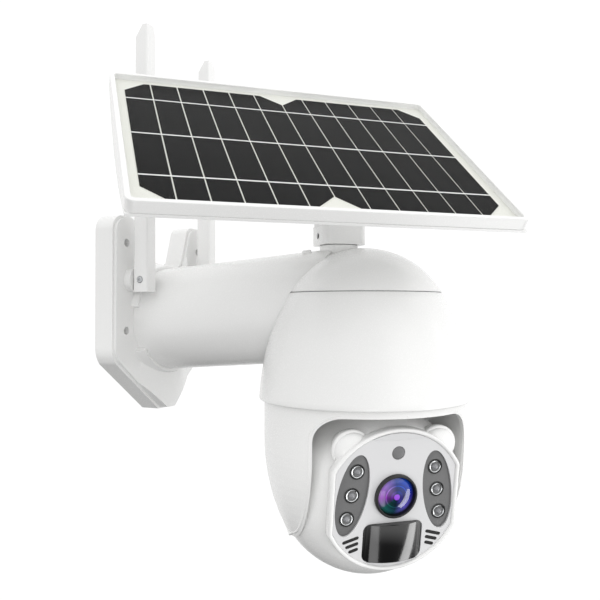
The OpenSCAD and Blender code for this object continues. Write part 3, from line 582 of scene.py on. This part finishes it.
for vertex in brow.verts:
    if vertex.co.y < 1 - face_y and math.hypot(vertex.co.x, vertex.co.z - brow_centre) > brow_ring_r - 0.3:
        vertex.co.y -= 0.5
bmesh.ops.transform(brow, matrix=ball_place, verts=brow.verts)
mesh_piece("brow_moulding", brow, face_abs, "ball", sharp=40)


# ---- Lens ----
# A black barrel with stepped rings holds a domed front element. The violet, blue and green of its multilayer
# coating and the bright rings of the elements behind it are painted reflections in its colour, with a faint
# painted glow.
lens_z, lens_r = 9.6, 12.6
glass_r, front_r, front_top = 11.1, 26, 47.6
lens_place = ball_place @ Matrix.Translation((0, 0, lens_z)) @ face_forward
barrel = bmesh.new()
turned(barrel, [(6.6, 30.4), (lens_r, 30.4), (lens_r, 46.9), *arc((lens_r - 0.4, 47.0), 0.4, 0, 90, 4),
                (12.1, 47.5), (11.9, 47.75), (11.5, 47.75), (11.25, 47.5), (11.2, 46.2), (11.15, 44.5),
                (6.6, 44.5), (6.6, 30.4)], 96)
bmesh.ops.transform(barrel, matrix=lens_place, verts=barrel.verts)
mesh_piece("lens_barrel_moulding", barrel, black_abs, "ball", ["lens_barrel"])


def coated_glass_painted_reflections():
    """Coated lens with painted reflections: colours that turn round the axis, fine bright rings of the
    elements, a violet middle, and a faint painted glow.
    """
    material = bpy.data.materials.new("multicoated_lens_painted_reflections")
    material.use_nodes = True
    tree = material.node_tree
    shader = tree.nodes["Principled BSDF"]
    across = add_node(tree, "ShaderNodeSeparateXYZ", {0: local_mm(tree, lens_place)})
    angle = add_node(tree, "ShaderNodeMath", {0: across.outputs["Y"], 1: across.outputs["X"]},
                     operation="ARCTAN2")
    turn = add_node(tree, "ShaderNodeMapRange",
                    {"Value": angle.outputs[0], "From Min": -math.pi, "From Max": math.pi})
    # Painted reflections of the coating: violet, blue and green that change round the axis.
    painted_coating_colours = add_node(tree, "ShaderNodeValToRGB", {0: turn.outputs[0]})
    set_stops(painted_coating_colours.color_ramp, [(0, "A63CC8"), (0.12, "1C6A5C"), (0.24, "123F4E"), (0.36, "6E62C8"),
                                (0.5, "2F2F9C"), (0.66, "1552C4"), (0.76, "123E9E"), (0.88, "A47AD2"),
                                (1, "A63CC8")])
    flat = add_node(tree, "ShaderNodeCombineXYZ",
                    {0: across.outputs["X"], 1: across.outputs["Y"], 2: 0.0})
    reach = add_node(tree, "ShaderNodeVectorMath", {0: flat.outputs[0]}, operation="LENGTH")
    share = add_node(tree, "ShaderNodeMapRange", {"Value": reach.outputs["Value"], "From Max": glass_r})
    # Painted reflections: bright rings of the elements behind the front one, dark between them, and a light
    # violet middle.
    depth = add_node(tree, "ShaderNodeValToRGB", {0: share.outputs[0]})
    set_stops(depth.color_ramp, [(0, "C9A0F0"), (0.13, "A070E8"), (0.19, "120A28"), (0.27, "5A4A9A"),
                                 (0.36, "2A2348"), (0.52, "606078"), (0.56, "E8E8F0"), (0.6, "70708C"),
                                 (0.8, "C8C8D8"), (0.93, "909098"), (1, "08080A")])
    painted_reflection_colour = add_node(tree, "ShaderNodeMix", {0: 0.85, 6: painted_coating_colours.outputs[0], 7: depth.outputs[0]},
                    data_type="RGBA", blend_type="MULTIPLY")
    core = add_node(tree, "ShaderNodeMapRange",
                    {"Value": share.outputs[0], "From Min": 0.13, "From Max": 0.17})
    painted_reflection_colour = add_node(tree, "ShaderNodeMix", {0: core.outputs[0], 6: linear("8A48C8"), 7: painted_reflection_colour.outputs[2]},
                    data_type="RGBA")
    tree.links.new(painted_reflection_colour.outputs[2], shader.inputs["Base Color"])
    # Painted glow: the lens shines a little by itself, though it is no lamp.
    tree.links.new(painted_reflection_colour.outputs[2], shader.inputs["Emission Color"])
    shader.inputs["Emission Strength"].default_value = 0.25
    shader.inputs["Roughness"].default_value = 0.06
    shader.inputs["IOR"].default_value = 1.6
    return material


front_edge = math.degrees(math.acos(glass_r / front_r))
element = bmesh.new()
turned(element, [*arc((0, front_top - front_r), front_r, 90, front_edge, 16), (glass_r, 44.4),
                 (0, 44.4)], 96)
bmesh.ops.transform(element, matrix=lens_place, verts=element.verts)
mesh_piece("lens_front_element", element, coated_glass_painted_reflections(), "ball", ["lens_glass"])


# ---- Light sensor ----
# A frosted grey window, domed a little, behind which the photodiode sits.
frosted = moulded("frosted_grey_polycarbonate", "737374", "6A6A6B", 0.5, grain_mm=0.4, grain=0.12)
sensor_z, sensor_r = 34.5, 3.8
sensor = bmesh.new()
turned(sensor, [(0, 45.55), (1.8, 45.5), (3.1, 45.35), (sensor_r - 0.15, 45.1), (sensor_r, 44.9),
                (sensor_r, 42.4), (0, 42.4)])
sensor_place = ball_place @ Matrix.Translation((0, 0, sensor_z)) @ face_forward
bmesh.ops.transform(sensor, matrix=sensor_place, verts=sensor.verts)
mesh_piece("light_sensor_window", sensor, frosted, "ball", ["light_sensor"])


# ---- Lamp windows and lamps ----
# Two tinted oval windows are sunk in the plate. Three lamps stand in each: a black collar, a chromed
# reflector ring, and a clear epoxy dome in a dark well.
smoked = moulded("smoked_polycarbonate", "696969", "5F5F60", 0.42, grain_mm=0.7, grain=0.35)
window_x, window_z, window_lean, window_w, window_h = 25.8, 11.3, 9.5, 17.8, 47.2
window_front = face_y - 1.9
window = bmesh.new()
oval = [(x * window_w / 2, z * window_h / 2) for x, z in arc((0, 0), 1, 0, 355, 71)]
window_rings = [ring(window, [(x * k, z * k) for x, z in oval], depth) for k, depth in
                ((0.985, face_y - 3), (1.0, face_y - 2.7), (1.0, window_front - 0.25),
                 (0.975, window_front))]
lofted(window, window_rings)
bmesh.ops.contextual_create(window, geom=window_rings[0])
bmesh.ops.contextual_create(window, geom=window_rings[-1])
sides = [ball_place @ Matrix.Translation((side * window_x, 0, window_z))
         @ Matrix.Rotation(math.radians(-side * window_lean), 4, "Y") for side in (-1, 1)]
windows = bmesh.new()
for place in sides:
    copied(windows, window, place)
window.free()
mesh_piece("lamp_window_mouldings", windows, smoked, "ball", ["lamp_windows"])

chrome = brushed("vacuum_metallised_reflector", "DADCDD", 0.14, line_mm=0.4)
epoxy = moulded("clear_epoxy_dome", "8E8F92", "66676B", 0.07, coat=1.0)
lamp_step = 13.7
collar = [(4.35, window_front - 0.3), (4.35, window_front + 0.35), (4.15, window_front + 0.6),
          (3.85, window_front + 0.55), (3.6, window_front + 0.1), (3.5, window_front - 0.3)]
reflector = [(3.55, window_front - 0.3), (3.5, window_front + 0.3), (3.3, window_front + 0.5),
             (3.0, window_front + 0.4), (2.75, window_front - 0.1), (2.5, window_front - 0.5)]
well = [(2.55, window_front - 0.45), (2.3, window_front - 0.1), (2.0, window_front - 0.2),
        (1.9, window_front - 0.4)]
dome = [(2.0, window_front - 0.5), *arc((0, window_front - 0.3), 1.95, 0, 90, 10)]
for name, profile, finish, slot, stands_for in (
        ("lamp_collars", collar, black_abs, "black_plastic", []),
        ("lamp_reflectors", reflector, chrome, "lamp_metal", ["lamps"]),
        ("lamp_wells", well, black_abs, "black_plastic", []),
        ("lamp_domes", dome, epoxy, "lamp_metal", [])):
    part = bmesh.new()
    turned(part, profile, 48)
    parts = bmesh.new()
    for place in sides:
        for step in (-lamp_step, 0, lamp_step):
            copied(parts, part, place @ Matrix.Translation((0, 0, step)) @ face_forward)
    part.free()
    mesh_piece(name, parts, finish, "ball", stands_for)


# ---- Motion sensor window ----
# A glossy black infrared window, part of a wide upright cylinder, with rounded corners and a flat top and
# bottom. Black mesh fills three sound slots on each side of it.
infrared_black = moulded("glossy_black_infrared_window", "070708", "0A0A0B", 0.14, grain=0.004,
                         coat=0.7)
motion_z, motion_w, motion_h, motion_corner = -17.2, 36, 22, 4
motion_r, motion_axis, slice_w = 38, 11.4, 1.5
slices = int(motion_w / 2 / slice_w)
outline = []
for turn, (sx, sz) in enumerate(((1, 1), (-1, 1), (-1, -1), (1, -1))):
    centre = (sx * (motion_w / 2 - motion_corner), motion_z + sz * (motion_h / 2 - motion_corner))
    outline += arc(centre, motion_corner, 90 * turn, 90 * turn + 90, 6)
motion = bmesh.new()
back_ring = ring(motion, outline, face_y - 3)
bmesh.ops.contextual_create(motion, geom=back_ring)
for step in range(1 - slices, slices):
    bmesh.ops.bisect_plane(motion, geom=motion.verts[:] + motion.edges[:] + motion.faces[:],
                           plane_co=(step * slice_w, 0, 0), plane_no=(1, 0, 0))
grown = bmesh.ops.extrude_face_region(motion, geom=motion.faces[:])
for vertex in [v for v in grown["geom"] if isinstance(v, bmesh.types.BMVert)]:
    vertex.co.y = -motion_axis - math.sqrt(motion_r ** 2 - vertex.co.x ** 2)
front_edges = [e for e in motion.edges
               if len(e.link_faces) == 2 and e.calc_face_angle() > math.radians(50)
               and all(v.co.y < 1.6 - face_y for v in e.verts)]
bmesh.ops.bevel(motion, geom=front_edges, offset=0.35, offset_type="OFFSET", affect="EDGES", segments=3,
                profile=0.5, material=-1, clamp_overlap=True)
bmesh.ops.transform(motion, matrix=ball_place, verts=motion.verts)
mesh_piece("motion_window_moulding", motion, infrared_black, "ball", ["motion_window"], 45)
slot_black = moulded("black_acoustic_mesh", "060606", "0B0B0B", 0.7, grain_mm=0.5, grain=0.4)
carried(slot_black, "grille_bars")


# ---- Works inside the arm, dome and ball ----
# The parts that the shells hide: cells and their holder, boards, motors, gears, bearing, axles and speaker,
# and the reset button.
acetal = moulded("natural_acetal", "E6E2D3", "DCD7C6", 0.4, grain=0.03)
board_green = moulded("green_solder_mask", "0F5A32", "0B4526", 0.35, grain_mm=1.5, grain=0.3)
sleeve = moulded("green_heat_shrink_sleeve", "2E8B62", "27795A", 0.3, grain_mm=2.0, grain=0.08)
turned_steel = brushed("turned_steel", "A9ABAE", 0.28)
carried(sleeve, "battery_cells")
carried(dark_abs, "battery_holder", "chassis_plate", "speaker", "reset_button")
carried(satin_abs, "arm_bulkhead", "trunnion")
carried(board_green, "main_board", "image_board")
carried(turned_steel, "pan_motor", "tilt_motor", "pan_bearing", "tilt_axle")
carried(acetal, "pan_gear", "pan_pinion", "tilt_gear", "tilt_pinion", "tilt_bush")
